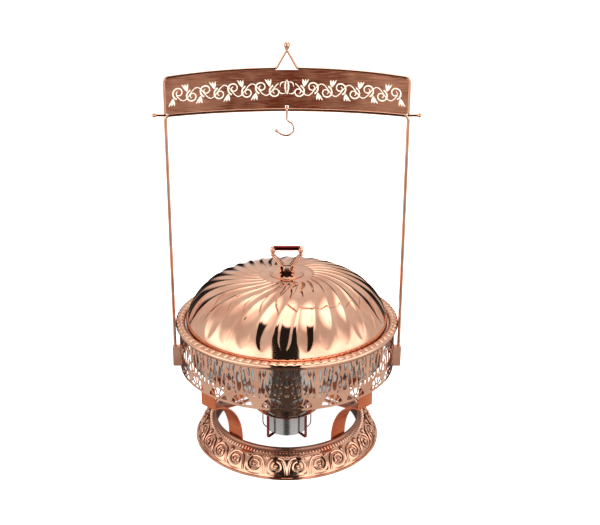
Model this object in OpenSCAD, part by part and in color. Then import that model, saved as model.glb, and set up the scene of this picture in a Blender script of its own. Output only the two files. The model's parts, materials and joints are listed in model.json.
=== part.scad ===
// Round chafing dish with a pierced gallery, fluted dome lid and a hanger arch.
// +Z is up, the front faces -Y, and the origin is the middle of the foot's underside.
// All sizes are in millimetres.

/* [Overall] */
// Outer diameter of the rolled rim
rim_d = 400; // [340:1:480]
// Outer diameter of the base ring's foot
base_d = 340; // [300:1:410]
// Rise of the leg bends above the base ring
leg_rise = 82; // [68:1:100]
// Height of the pierced band
band_h = 79; // [66:1:96]
// Rise of the dome above its skirt
dome_h = 85; // [70:1:104]
// Rise of the hanger's rail above the rim, at the middle
rail_rise = 374.5; // [310:0.5:450]

/* [Base ring] */
// Height of the base ring
base_h = 44; // [36:0.5:54]
// Width of the base ring, from the foot to its inner collar
base_w = 39; // [32:0.5:47]
// Height of the foot's lip
lip_h = 3.5; // [2:0.5:6]
// Width of the lip's step
lip_w = 4; // [2:0.5:6]
// How far the slope bulges outward
slope_bulge = 4.5; // [1:0.5:7]
// Width of the rolled crown on top
crown_w = 6.5; // [4:0.5:9]
// Drop of the inner collar below the top
collar_drop = 28; // [20:0.5:32]
// Width of the turned-in foot
foot_w = 10; // [6:0.5:14]

/* [Legs] */
// Width of a leg strip
leg_w = 34; // [22:0.5:42]
// Thickness of a leg strip
leg_t = 2.5; // [1.5:0.1:3.5]
// Height of the ear above the leg's bend
ear_h = 40; // [32:0.5:48]
// Height of the leg bend below the band
bend_drop = 24; // [18:0.5:30]
// Diameter of a rivet
rivet_d = 4; // [3:0.1:5]
// Diameter of a rivet's head
rivet_head_d = 7.5; // [6:0.1:9]
// Thickness of a rivet's head
rivet_head_h = 1.5; // [1:0.1:2.5]
// Spacing of the two rivets of a leg
rivet_gap = 18; // [12:0.5:20]

/* [Band] */
// Thickness of the band's sheet
band_t = 1.5; // [1:0.1:2]
// How far the rim overhangs the band
rim_overhang = 6; // [4:0.5:8]
// Panels round the band
panels = 12; // [8:1:16]
// Leaf openings in a panel
leaves = 6; // [4:2:8]
// Width of the solid bar between panels
bar_w = 14; // [10:0.5:18]
// Strip left between two leaves
strip_w = 4.5; // [3.5:0.5:7]
// Plain hem above and below the piercing
hem_h = 4; // [3:0.5:7]
// Height of the row of fans under the leaves
fan_h = 18; // [14:0.5:22]

/* [Rim] */
// Diameter of the rim's outer roll
roll_d = 12; // [10:0.5:14]
// Diameter of the rim's inner bead
bead_d = 7; // [6:0.5:8]
// Radial width of the rim, from its inner wall to the roll
rim_w = 16.5; // [15:0.5:18]
// Thickness of the rim's wall and ledge
rim_t = 1.5; // [1.2:0.1:2]
// Width of the ledge that carries the pans
ledge_w = 6; // [4:0.5:7]
// Depth of the ledge's top below the rim's top
ledge_drop = 13; // [12:0.5:15]

/* [Pans] */
// Wall of the pans
pan_t = 1; // [0.8:0.1:1.4]
// Depth of the food pan
food_depth = 60; // [48:0.5:72]
// Room for water under the food pan
water_depth = 9; // [6:0.5:12]
// Radius of the pans' bottom corners
pan_corner = 12; // [8:0.5:16]

/* [Lid] */
// Wall of the dome
dome_t = 1.2; // [0.8:0.1:1.8]
// Height of the lid's straight skirt
skirt_h = 5; // [3:0.5:8]
// Fullness of the dome's shoulder
dome_p = 3.9; // [3.2:0.05:4.6]
// Flatness of the dome's side
dome_q = 0.67; // [0.56:0.01:0.8]
// Radius of the flat crown under the handle
crown_r = 31; // [26:0.5:36]
// Thickness of the handle's round plate
plate_t = 1.5; // [1:0.1:2.5]

/* [Handle] */
// Height of the grip's axis above the plate
grip_rise = 46.5; // [40:0.5:56]
// Diameter of the grip
grip_d = 9.4; // [8:0.1:9.6]
// Distance between the knobs' axes
knob_span = 49; // [44:0.5:58]
// Diameter of a knob
knob_d = 10; // [9.8:0.1:12]
// Length of a knob
knob_h = 15.5; // [13:0.5:18.5]
// Depth of the knobs' middle below the grip's axis
knob_drop = 4.5; // [2:0.5:5.5]
// Width of the bracket's foot
bracket_foot = 27.5; // [24:0.5:34]
// Width of each leg of the bracket, at the foot
bracket_leg = 8; // [6:0.5:9]
// Width of each leg of the bracket, at the knob
bracket_tip = 8.5; // [7:0.5:10]
// Height of the bracket's window above the plate
window_z = 6; // [5:0.5:8]
// Height of the bracket's window
window_h = 7.5; // [7:0.5:9]
// Breadth of the bracket, front to back
strap_w = 8; // [7:0.5:10]
// Diameter of the handle's screw
screw_d = 4; // [3:0.5:5]

/* [Hanger] */
// Diameter of the uprights and the rail
hoop_d = 5.8; // [4.8:0.1:7]
// Diameter of the rod that frames the sign
frame_d = 4.6; // [3.8:0.1:5.4]
// Distance from the band to an upright's axis
upright_off = 10; // [9:0.5:12]
// Radius of the arch of the rail
rail_arch = 2027; // [1600:1:2500]
// Radius of the arch of the frame's top rod
top_arch = 1323; // [1100:1:1600]
// Height of the frame's top rod above the rail, at the middle
frame_rise = 69; // [57:0.5:83]
// Bend radius of the rods' corners
corner_r = 8; // [6:0.5:10]
// Half width of the peak at its foot
peak_half = 17.5; // [14:0.5:21]
// Rise of the peak above the top rod
peak_rise = 30.5; // [25:0.5:37]
// Diameter of the ball on the peak
peak_ball_d = 11; // [9:0.5:13]
// Length of the stubs beyond the uprights
stub_len = 18.5; // [14:0.5:24]
// Diameter of the balls on the stubs
stub_ball_d = 8; // [6.5:0.5:10]
// Thickness of the sign panel
panel_t = 1.5; // [1:0.1:2.5]

/* [Sockets] */
// Height of a socket
socket_h = 38; // [30:0.5:46]
// Width of a socket
socket_w = 12; // [10.5:0.5:15]
// Depth of a socket's bottom below the band
socket_drop = 11; // [6:0.5:14]
// Floor of a socket under the upright
socket_floor = 4; // [3:0.5:6]

/* [Hook] */
// Diameter of the hook's wire
wire_d = 3.5; // [3:0.1:4]
// Radius of the hook's bowl
bowl_r = 12; // [10:0.5:14]
// Radius of the bend between the shank and the bowl
neck_r = 7; // [6:0.5:9]
// Radius of the hook's flared tip
tip_r = 22; // [18:0.5:26]
// Length of the shank from the rail to its bend
shank_len = 14.2; // [12:0.1:18]
// Diameter of the ball on the tip
hook_ball_d = 6.6; // [5:0.2:8]

/* [Burner] */
// Gap between the fuel can and the burner ring
burner_gap = 3; // [2:0.5:6]
// Width of the burner ring
burner_w = 19; // [15:0.5:23]
// Height of the burner ring's lower edge above the table
burner_z = 51; // [46:0.5:58]
// Rise of the burner ring's cone
burner_rise = 9; // [6:0.5:12]
// Thickness of the burner ring
burner_t = 1.2; // [1:0.1:2]
// Width of a post
post_w = 5.5; // [4:0.5:8]
// Thickness of a post
post_t = 1.6; // [1.2:0.1:2.4]
// Distance from the can's wall to the outer side of the posts
post_gap = 12; // [9:0.5:15]
// Diameter of the cradle's wire
cradle_d = 2.2; // [1.6:0.1:3]
// Distance from the can's wall to the cradle's upright wires
cradle_gap = 7; // [6:0.5:9]
// Height of the cradle's lowest run
cradle_z = 6.6; // [5:0.1:8]
// Width of a support arm
arm_w = 9; // [6:0.5:12]
// Thickness of a support arm
arm_t = 1.6; // [1.2:0.1:2.4]
// Fall of a support arm from the leg to its knee
arm_drop = 11; // [6:0.5:16]

/* [Fuel can] */
// Diameter of the fuel can
can_d = 76; // [66:0.5:78]
// Height of the fuel can
can_h = 68.5; // [58:0.5:80]
// Height of the can's bottom above the table
can_z = 11.5; // [9.5:0.5:14]
// Wall of the can
can_t = 1; // [0.6:0.1:1.5]
// Diameter of the flame opening
flame_d = 32; // [26:0.5:36]
// Thickness of the damper disc
damper_t = 1.2; // [0.8:0.1:2]

/* [Clearances] */
// Gap under a piece that rests on another body
seat_gap = 0.3; // [0.2:0.05:0.5]
// Gap between pieces that are fastened together
joint_gap = 0.1; // [0.05:0.05:0.2]
// Radial clearance of a rod or pin in its bore
pin_gap = 0.08; // [0.02:0.01:0.1]
// Side clearance of the pans and the lid
pan_gap = 1.2; // [0.8:0.1:2]

/* [Hidden] */
$fn = 96;
fine = 240;
arch_fn = 1440;
bend_let_in = 0.3;
bend_step = 0.04;
rose = "#d9a184";
copper = "#c4502e";
steel = "#b9bcc0";

front_left = 225;
front_right = 315;
back_left = 135;
back_right = 45;

// Heights of the stand
leg_top = base_h + leg_rise;
band_z = leg_top + bend_drop;
band_top = band_z + band_h;
rim_top = band_top + roll_d - 2;
ledge_z = rim_top - ledge_drop;

// Radii of the stand
rim_r = rim_d / 2;
band_r = rim_r - rim_overhang;
band_in = band_r - band_t;
rim_in = rim_r - rim_w;
ledge_in = rim_in - ledge_w;
base_r = base_d / 2;
collar_r = base_r - base_w;
sheet_t = band_t;

// A flat strip inside a round wall touches it with its edges
function inside_wall(r) = sqrt(pow(r - joint_gap, 2) - pow(leg_w / 2, 2));
leg_foot_r = inside_wall(collar_r) - leg_t / 2;
ear_r = inside_wall(band_in) - leg_t / 2;

// Pans and lid, stacked on the ledge
water_flange_z = ledge_z + seat_gap;
food_flange_z = water_flange_z + pan_t + seat_gap;
lid_z = food_flange_z + pan_t + seat_gap;
water_r = ledge_in - pan_gap;
food_r = water_r - pan_t - pan_gap;
food_z = food_flange_z + pan_t - food_depth;
water_z = food_z - water_depth - pan_t;
flange_r = rim_in - pan_gap;
lid_r = rim_in - 2 * pan_gap;
dome_z = lid_z + skirt_h;
function dome_at(r) = dome_z + dome_h * pow(1 - pow(r / lid_r, dome_p), dome_q);
crown_z = dome_at(crown_r);
plate_z = crown_z + joint_gap;
bracket_z = plate_z + plate_t + joint_gap;
grip_z = plate_z + plate_t + grip_rise;
screw_head_h = 2.6;
screw_head_d = 2 * screw_d;
nut_h = 0.8 * screw_d;
nut_af = 1.75 * screw_d;

// Hanger
side_x = band_r + upright_off;
hoop_r = hoop_d / 2;
frame_r = frame_d / 2;
rail_z = rim_top + rail_rise;
rail_c = [0, rail_z - rail_arch];
top_z = rail_z + frame_rise;
top_c = [0, top_z - top_arch];
corner_x = side_x - corner_r;
function corner_z(c, arch) = c[1] + sqrt(pow(arch - corner_r, 2) - pow(corner_x, 2));
function corner_turn(arch) = 90 - asin(corner_x / (arch - corner_r));
hoop_corner = [corner_x, corner_z(rail_c, rail_arch)];
frame_corner = [corner_x, corner_z(top_c, top_arch)];
hoop_turn = corner_turn(rail_arch);
frame_turn = corner_turn(top_arch);
stub_z = hoop_corner[1] + corner_r;
socket_z = band_z - socket_drop;
upright_z = socket_z + socket_floor + seat_gap;
apex_z = top_z + peak_rise;
peak_lean = atan2(peak_rise, peak_half);
peak_bend = 5;
peak_at = peak_lean - acos((peak_bend + cos(peak_lean) * (apex_z - top_c[1])) / (top_arch + peak_bend));
peak_bend_c = [(top_arch + peak_bend) * sin(peak_at), top_c[1] + (top_arch + peak_bend) * cos(peak_at)];
peak_foot = [peak_bend_c[0] - peak_bend * sin(peak_lean), peak_bend_c[1] - peak_bend * cos(peak_lean)];
peak_ball_z = apex_z + 0.6 * peak_ball_d + 0.9;

// Hook
wire_r = wire_d / 2;
eye_r = hoop_r + seat_gap + wire_r;
neck_turn = 62;
tip_turn = 50;
neck_z = rail_z - shank_len;
neck_end = [neck_r * (1 - cos(neck_turn)), neck_z - neck_r * sin(neck_turn)];
neck_run = 1.7;
bowl_start = [neck_end[0] + neck_run * sin(neck_turn), neck_end[1] - neck_run * cos(neck_turn)];
bowl_c = [bowl_start[0] - bowl_r * cos(neck_turn), bowl_start[1] - bowl_r * sin(neck_turn)];
tip_c = [bowl_c[0], bowl_c[1] - bowl_r + tip_r];
tip_end = [tip_c[0] - tip_r * sin(tip_turn), tip_c[1] - tip_r * cos(tip_turn)];
notch_w = wire_d + 2;
notch_z = rail_z + eye_r + wire_r + 0.6;

// Burner
can_r = can_d / 2;
burner_in = can_r + burner_gap;
burner_out = burner_in + burner_w;
function cone_at(r) = burner_z + burner_rise * (r - burner_in) / burner_w;
post_r = can_r + post_gap;
cradle_half = can_r + cradle_gap;
arm_end_t = 52;
can_top = can_z + can_h;
flame_r = flame_d / 2;
pivot_x = flame_r + 8;
disc_r = flame_r + 2.5;
cover_lip = 1.5;

// Shared shapes

module rod_line(p, q, d) {
    along = [q[0] - p[0], q[1] - p[1]];
    translate([p[0], 0, p[1]]) rotate([0, 90 - atan2(along[1], along[0]), 0])
        cylinder(d = d, h = norm(along));
}

module rod_arc(c, r, from, to, d, sweep_fn = $fn) {
    translate([c[0], 0, c[1]]) rotate([90, 0, 0]) rotate([0, 0, from])
        rotate_extrude(angle = to - from, $fn = sweep_fn) translate([r, 0]) circle(d = d);
}

// A bend between two runs: a hair thinner, with its ends let into them
module rod_bend(c, r, from, to, d) {
    let_in = bend_let_in / r * 180 / PI;
    rod_arc(c, r, from - let_in, to + let_in, d - bend_step);
}

module both_sides() {
    children();
    mirror([1, 0, 0]) children();
}

// A strip that stands in the radial plane at an azimuth, w wide
module radial_strip(azimuth, w) {
    rotate([0, 0, azimuth]) rotate([90, 0, 0])
        translate([0, 0, -w / 2]) linear_extrude(w) children();
}

function slope(t, inset) = [
    base_r - lip_w - inset - t * (base_w - lip_w - crown_w) + slope_bulge * sin(180 * t),
    lip_h + t * (base_h - lip_h - 5) + 0.6 * slope_bulge * sin(180 * t) - 0.6 * inset];
slope_steps = [for (i = [0 : 10]) i / 10];

module base_ring() color(rose) difference() {
    rotate_extrude($fn = fine) polygon(concat(
        [[base_r - foot_w, 0], [base_r, 0], [base_r, lip_h]],
        [for (t = slope_steps) slope(t, 0)],
        [[collar_r + 3, base_h], [collar_r, base_h - 1.5], [collar_r, base_h - collar_drop],
         [collar_r + sheet_t, base_h - collar_drop], [collar_r + sheet_t, base_h - 3],
         [collar_r + 3, base_h - 1.8]],
        [for (t = slope_steps) slope(1 - t, sheet_t)],
        [[base_r - sheet_t, lip_h - sheet_t / 2], [base_r - sheet_t, sheet_t],
         [base_r - foot_w, sheet_t]]));
    rivet_places() rivet_hole();
}

// The strip's line: up inside the collar, out in a quarter ellipse, up inside the band
function leg_arc(t, off) = [
    ear_r - (ear_r - leg_foot_r) * cos(t) - off * leg_rise * cos(t) / leg_norm(t),
    base_h + leg_rise * sin(t) + off * (ear_r - leg_foot_r) * sin(t) / leg_norm(t)];
function leg_norm(t) = norm([leg_rise * cos(t), (ear_r - leg_foot_r) * sin(t)]);
function leg_side(off) = concat(
    [[leg_foot_r - off, base_h - collar_drop + 2]],
    [for (t = [0 : 7.5 : 82.5]) leg_arc(t, off)],
    [[ear_r - off, leg_top + off], [ear_r - off, leg_top + ear_h]]);

module leg(azimuth) color(copper) difference() {
    radial_strip(azimuth, leg_w) polygon(concat(
        leg_side(-leg_t / 2),
        [for (i = [1 : len(leg_side(0))]) leg_side(leg_t / 2)[len(leg_side(0)) - i]]));
    rivet_places() rivet_hole();
}

rivet_z = base_h - collar_drop / 2;

module rivet_places() {
    for (azimuth = [front_left, front_right, back_left, back_right])
        for (side = [-1, 1])
            rotate([0, 0, azimuth]) translate([0, side * rivet_gap / 2, rivet_z])
                rotate([0, 90, 0]) children();
}

module rivet_hole() {
    translate([0, 0, leg_foot_r - leg_t]) cylinder(d = rivet_d + 2 * pin_gap, h = 4 * leg_t);
}

module leg_rivets() color(rose) rivet_places() {
    inner = leg_foot_r - leg_t / 2 - joint_gap;
    outer = collar_r + sheet_t + joint_gap;
    translate([0, 0, inner - rivet_head_h]) cylinder(d = rivet_head_d, h = rivet_head_h);
    translate([0, 0, inner - 1]) cylinder(d = rivet_d, h = outer - inner + 2);
    translate([0, 0, outer]) cylinder(d = rivet_head_d, h = rivet_head_h);
}

module leg_front_left() leg(front_left);
module leg_front_right() leg(front_right);
module leg_back_left() leg(back_left);
module leg_back_right() leg(back_right);

panel_arc = 2 * PI * band_r / panels - bar_w;
leaf_pitch = panel_arc / leaves;
leaf_w = leaf_pitch - strip_w;
leaf_z = band_z + hem_h + fan_h + hem_h;
leaf_h = band_top - hem_h - leaf_z;
leaf_arc = (pow(leaf_h, 2) + pow(leaf_w, 2)) / (4 * leaf_w);
fan_r = min(fan_h - 1, leaf_pitch * 1.5 - strip_w / 2);

module leaf() {
    intersection_for (side = [-1, 1])
        translate([side * (leaf_arc - leaf_w / 2), leaf_z + leaf_h / 2]) circle(r = leaf_arc, $fn = fine);
}

module fan() {
    translate([0, band_z + hem_h]) intersection() {
        circle(r = fan_r);
        translate([-fan_r, 0]) square([2 * fan_r, fan_r]);
    }
}

// Cuts through the wall at an arc distance from the panel's middle
module pierce(panel, arc) {
    rotate([0, 0, panel * 360 / panels + arc / band_r * 180 / PI]) rotate([90, 0, 0])
        translate([0, 0, band_in - 4]) linear_extrude(band_t + 8) children();
}

module gallery_band() color(rose) difference() {
    translate([0, 0, band_z]) difference() {
        cylinder(r = band_r, h = band_h, $fn = fine);
        translate([0, 0, -1]) cylinder(r = band_in, h = band_h + 2, $fn = fine);
    }
    for (panel = [0 : panels - 1]) {
        for (i = [0 : leaves - 1]) pierce(panel, (i - (leaves - 1) / 2) * leaf_pitch) leaf();
        for (side = [-1, 1]) pierce(panel, side * leaves / 4 * leaf_pitch) fan();
    }
    screw_places() cylinder(d = screw_d + 2 * pin_gap, h = 12);
}

module rim_section() {
    difference() {
        union() {
            translate([rim_r - roll_d / 2, rim_top - 1 - roll_d / 2]) circle(d = roll_d);
            translate([rim_in + bead_d / 2, rim_top - 2 - bead_d / 2]) circle(d = bead_d);
            translate([rim_in + bead_d / 2, band_top + joint_gap])
                square([rim_w - bead_d / 2 - roll_d / 2, roll_d / 2 + 1.5]);
            translate([rim_in, ledge_z - rim_t]) square([rim_t, roll_d - 1]);
            translate([ledge_in, ledge_z - rim_t]) square([ledge_w + rim_t, rim_t]);
        }
        translate([band_in - joint_gap, band_z])
            square([band_t + 2 * joint_gap, band_h + joint_gap]);
    }
}

module rim_ring() color(rose) rotate_extrude($fn = fine) rim_section();

screw_z = [band_z + 8, band_z + 0.55 * socket_h];

module screw_places() {
    for (side = [0, 180], z = screw_z)
        rotate([0, 0, side]) translate([band_in - 3, 0, z]) rotate([0, 90, 0]) children();
}

module socket() color(copper) difference() {
    translate([band_r - 5, -socket_w / 2, socket_z])
        cube([upright_off + 5 + hoop_r + band_t, socket_w, socket_h]);
    translate([0, 0, socket_z - 1]) cylinder(r = band_r + joint_gap, h = socket_h + 2, $fn = fine);
    translate([side_x, 0, socket_z + socket_floor])
        cylinder(r = hoop_r + pin_gap, h = socket_h);
    screw_places() cylinder(d = screw_d + 2 * pin_gap, h = band_t + 3 + screw_bite + joint_gap);
}

module socket_right() socket();
module socket_left() mirror([1, 0, 0]) socket();

screw_bite = 5;

module socket_screws() color(steel) screw_places() {
    translate([0, 0, 3 - joint_gap - screw_head_h / 2])
        cylinder(d = screw_head_d, h = screw_head_h / 2);
    translate([0, 0, 3 - joint_gap]) cylinder(d = screw_d, h = joint_gap + band_t + screw_bite);
}

module burner_ring() color(rose) rotate_extrude($fn = fine) polygon([
    [burner_in, cone_at(burner_in) - 3 * burner_t],
    [burner_in + burner_t, cone_at(burner_in) - 3 * burner_t],
    [burner_in + burner_t, cone_at(burner_in + burner_t) - burner_t],
    [burner_out, cone_at(burner_out) - burner_t], [burner_out, cone_at(burner_out)],
    [burner_in, cone_at(burner_in)]]);

// An arm rises from the burner ring's edge to a knee and runs out to the inner side of a leg
arm_end = leg_arc(arm_end_t, 0);
arm_foot = [burner_out - 2, cone_at(burner_out) + joint_gap];
arm_knee = [burner_out + 13, arm_end[1] - arm_drop];

module arm(azimuth) color(copper) radial_strip(azimuth, arm_w) difference() {
    polygon([arm_foot, arm_knee, arm_end, [arm_end[0], arm_end[1] + arm_t],
             [arm_knee[0] - arm_t / 2, arm_knee[1] + arm_t], [arm_foot[0] - arm_t, arm_foot[1]]]);
    polygon(concat([for (t = [30 : 7.5 : 82.5]) leg_arc(t, leg_t / 2 + joint_gap)],
                   [[ear_r, leg_arc(30, 0)[1]]]));
}

module arm_front_left() arm(front_left);
module arm_front_right() arm(front_right);
module arm_back_left() arm(back_left);
module arm_back_right() arm(back_right);

foot_in = can_r - 9;
foot_top = can_z - seat_gap;
post_top = cone_at(post_r) - burner_t - joint_gap;

// A post drops from the ring and turns in under the can, ending in a folded toe
module post(azimuth) color(copper) radial_strip(azimuth, post_w) polygon([
    [post_r, post_top], [post_r, foot_top - 4.6], [post_r - 2.5, foot_top - 5.1],
    [foot_in, foot_top - post_t], [foot_in, foot_top], [foot_in + 2, foot_top],
    [post_r - 4, foot_top - 3.4], [post_r - post_t, foot_top - 2.2],
    [post_r - post_t, post_top - post_t * burner_rise / burner_w]]);

module post_front_left() post(front_left);
module post_front_right() post(front_right);
module post_back_left() post(back_left);
module post_back_right() post(back_right);

cradle_bend = 14;

module cradle_wire() color(steel) {
    top = cone_at(cradle_half) - 1.5 * burner_t - joint_gap;
    side = cradle_half;
    both_sides() {
        rod_line([side, cradle_z + cradle_bend], [side, top], cradle_d);
        rod_arc([side - cradle_bend, cradle_z + cradle_bend], cradle_bend, -90, 0, cradle_d);
        rod_line([0, cradle_z], [side - cradle_bend, cradle_z], cradle_d);
    }
}

corner_steps = [0 : 15 : 90];

// Half section of a round pan with a flat flange
module pan_section(r, bottom, flange) {
    top = flange + pan_t;
    polygon(concat(
        [[0, bottom]],
        [for (a = corner_steps) [r - pan_corner + pan_corner * sin(a), bottom + pan_corner * (1 - cos(a))]],
        [[r, flange], [flange_r, flange], [flange_r, top], [r - pan_t, top]],
        [for (a = corner_steps) [r - pan_corner + (pan_corner - pan_t) * cos(a),
                                 bottom + pan_corner - (pan_corner - pan_t) * sin(a)]],
        [[0, bottom + pan_t]]));
}

module water_pan() color(steel) rotate_extrude($fn = fine)
    pan_section(water_r, water_z, water_flange_z);

module food_pan() color(steel) rotate_extrude($fn = fine)
    pan_section(food_r, food_z, food_flange_z);

dome_steps = 16;

// Points of the dome's side from the skirt up to the crown, drawn in by inset
function dome_side(inset) = [
    for (i = [0 : dome_steps])
        let (r = crown_r + (lid_r - crown_r) * sin(90 - 90 * i / dome_steps), k = (lid_r - inset) / lid_r)
            [r * k, dome_at(r) - inset]];

module lid_dome() color(rose) difference() {
    rotate_extrude($fn = fine) polygon(concat(
        [[lid_r - dome_t, lid_z], [lid_r, lid_z]],
        dome_side(0),
        [[0, crown_z], [0, crown_z - dome_t]],
        [for (i = [0 : dome_steps]) dome_side(dome_t)[dome_steps - i]]));
    translate([0, 0, crown_z - 5]) cylinder(d = screw_d + 2 * pin_gap, h = 10);
}

module handle_plate() color(rose) translate([0, 0, plate_z]) difference() {
    cylinder(r = crown_r - 1, h = plate_t, $fn = fine);
    translate([0, 0, -1]) cylinder(d = screw_d + 2 * pin_gap, h = plate_t + 2);
}

knob_x = knob_span / 2;
knob_z = grip_z - knob_drop;
bracket_top = knob_z - knob_h / 2 - joint_gap;
window_w = bracket_foot - 2 * bracket_leg;
bridge_z = bracket_z + window_z + window_h + 2.5;
function bracket_side(s) = [
    [s * bracket_foot / 2, bracket_z], [s * bracket_foot / 2, bridge_z - 2],
    [s * (knob_x + bracket_tip / 2), bracket_top], [s * (knob_x - bracket_tip / 2), bracket_top],
    [s * (window_w / 2 - 0.5), bridge_z]];

// A cast V over a window; the nut sits in the window on the foot
module handle_bracket() color(rose) difference() {
    translate([0, strap_w / 2, 0]) rotate([90, 0, 0]) linear_extrude(strap_w) difference() {
        polygon(concat(bracket_side(1), [for (i = [4 : -1 : 0]) bracket_side(-1)[i]]));
        translate([-window_w / 2, bracket_z + window_z]) square([window_w, window_h]);
    }
    translate([0, 0, bracket_z - 1]) cylinder(d = screw_d + 2 * pin_gap, h = window_z + 2);
}

module knob(grow) {
    rotate_extrude() intersection() {
        union() {
            for (side = [-1, 1]) translate([0, side * (knob_h - knob_d) / 2]) circle(d = knob_d + 2 * grow);
            square([knob_d + 2 * grow, knob_h - knob_d], center = true);
        }
        translate([0, -knob_h]) square([knob_d, 2 * knob_h]);
    }
}

module handle_knob_right() color(rose) translate([knob_x, 0, knob_z]) knob(0);
module handle_knob_left() mirror([1, 0, 0]) handle_knob_right();

module handle_grip() color(rose) difference() {
    translate([1 - knob_x, 0, grip_z]) rotate([0, 90, 0]) cylinder(d = grip_d, h = 2 * knob_x - 2);
    both_sides() translate([knob_x, 0, knob_z]) knob(joint_gap);
}

// The screw comes up from inside the dome, through the foot, into the nut
nut_z = bracket_z + window_z + joint_gap;
screw_head_z = crown_z - dome_t - joint_gap;

module handle_screw() color(steel) {
    translate([0, 0, screw_head_z - screw_head_h]) cylinder(d = screw_head_d, h = screw_head_h);
    translate([0, 0, screw_head_z - 1]) cylinder(d = screw_d, h = nut_z + nut_h + 2 - screw_head_z);
}

module handle_nut() color(steel) translate([0, 0, nut_z]) difference() {
    cylinder(d = nut_af / cos(30), h = nut_h, $fn = 6);
    translate([0, 0, -1]) cylinder(d = screw_d + 2 * pin_gap, h = nut_h + 2);
}

module upright_right() color(rose) rod_line([side_x, upright_z], [side_x, hoop_corner[1]], hoop_d);
module upright_left() mirror([1, 0, 0]) upright_right();

// The rail's bent end, which stands on an upright
module rail_end(d) {
    let_in = bend_let_in / corner_r * 180 / PI;
    rod_arc(hoop_corner, corner_r, 0, hoop_turn + let_in, d - bend_step);
}

module lower_rail() color(rose) {
    rod_arc(rail_c, rail_arch, hoop_turn, 180 - hoop_turn, hoop_d, arch_fn);
    both_sides() rail_end(hoop_d);
}

// Half of the frame; its peak leg crosses the other one and ends inside the ball
module frame_half() {
    over = peak_ball_z - apex_z;
    rod_line([side_x, stub_z + frame_r + joint_gap], [side_x, frame_corner[1]], frame_d);
    rod_bend(frame_corner, corner_r, 0, frame_turn, frame_d);
    rod_arc(top_c, top_arch, frame_turn, 90 - peak_at, frame_d, arch_fn);
    rod_bend(peak_bend_c, peak_bend, 270 - peak_lean, 270 - peak_at, frame_d);
    rod_line(peak_foot, [-over / 2 / tan(peak_lean), apex_z + over / 2], frame_d);
}

module sign_frame() color(rose) difference() {
    both_sides() frame_half();
    translate([0, 0, peak_ball_z]) sphere(d = peak_ball_d + 2 * joint_gap);
}

module sign_panel() color(copper) rotate([90, 0, 0])
    translate([0, 0, -panel_t / 2]) linear_extrude(panel_t) difference() {
        intersection() {
            translate(top_c) circle(r = top_arch - frame_r - joint_gap, $fn = arch_fn);
            translate([-side_x + frame_r + joint_gap, hoop_corner[1]])
                square([2 * (side_x - frame_r - joint_gap), 2 * frame_rise]);
        }
        translate(rail_c) circle(r = rail_arch + hoop_r + joint_gap, $fn = arch_fn);
        translate([-notch_w / 2, rail_z]) square([notch_w, notch_z - rail_z]);
        both_sides() difference() {
            translate(frame_corner) square(2 * corner_r);
            translate(frame_corner) circle(r = corner_r - frame_r - joint_gap);
        }
    }

module peak_ball() color(rose) translate([0, 0, peak_ball_z]) sphere(d = peak_ball_d);

module stub_right() color(rose) {
    difference() {
        rod_line([side_x - 1, stub_z], [side_x + stub_len, stub_z], frame_d);
        rail_end(hoop_d + 2 * joint_gap + bend_step);
        rod_line([side_x, upright_z], [side_x, hoop_corner[1]], hoop_d + 2 * joint_gap);
    }
    translate([side_x + stub_len, 0, stub_z]) sphere(d = stub_ball_d);
}
module stub_left() mirror([1, 0, 0]) stub_right();

module hook() color(rose) {
    translate([0, 0, rail_z]) rotate([0, 90, 0]) rotate_extrude() translate([eye_r, 0]) circle(r = wire_r);
    rod_line([0, neck_z], [0, rail_z - eye_r], wire_d);
    rod_bend([neck_r, neck_z], neck_r, 180, 180 + neck_turn, wire_d);
    rod_line(neck_end, bowl_start, wire_d);
    rod_bend(bowl_c, bowl_r, -90, neck_turn, wire_d);
    rod_arc(tip_c, tip_r, 270 - tip_turn, 270, wire_d);
    translate([tip_end[0], 0, tip_end[1]]) sphere(d = hook_ball_d);
}

module can_cup() color(steel) difference() {
    translate([0, 0, can_z]) cylinder(r = can_r, h = can_h - cover_lip);
    translate([0, 0, can_z + can_t]) cylinder(r = can_r - can_t, h = can_h);
}

module can_cover() color(steel) difference() {
    union() {
        translate([0, 0, can_top - cover_lip + joint_gap]) cylinder(r = can_r + 0.8, h = cover_lip);
        translate([0, 0, can_top - 3 * cover_lip])
            cylinder(r = can_r - can_t - joint_gap, h = 2 * cover_lip + joint_gap);
    }
    translate([0, 0, can_top - 4 * cover_lip])
        cylinder(r = can_r - 3 * can_t, h = 3 * cover_lip + joint_gap);
    translate([0, 0, can_z]) cylinder(r = flame_r, h = 2 * can_h);
    translate([pivot_x, 0, can_z]) cylinder(r = rivet_d / 2 + pin_gap, h = 2 * can_h);
}

damper_z = can_top + joint_gap + seat_gap;

module damper_disc() color(steel) translate([0, 0, damper_z]) difference() {
    union() {
        cylinder(r = disc_r, h = damper_t);
        translate([pivot_x, 0, 0]) cylinder(r = rivet_d, h = damper_t);
        translate([0, -rivet_d, 0]) cube([pivot_x, 2 * rivet_d, damper_t]);
        translate([-disc_r - 10, -rivet_d, 0]) cube([disc_r + 10, 2 * rivet_d, damper_t]);
    }
    translate([pivot_x, 0, -1]) cylinder(r = rivet_d / 2 + pin_gap, h = damper_t + 2);
}

module damper_pin() color(steel) translate([pivot_x, 0, 0]) {
    head = damper_z + damper_t + seat_gap;
    foot = can_top - cover_lip + joint_gap - 1;
    translate([0, 0, foot]) cylinder(d = rivet_d, h = head - foot);
    translate([0, 0, head]) cylinder(d = rivet_head_d, h = rivet_head_h);
}

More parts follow.
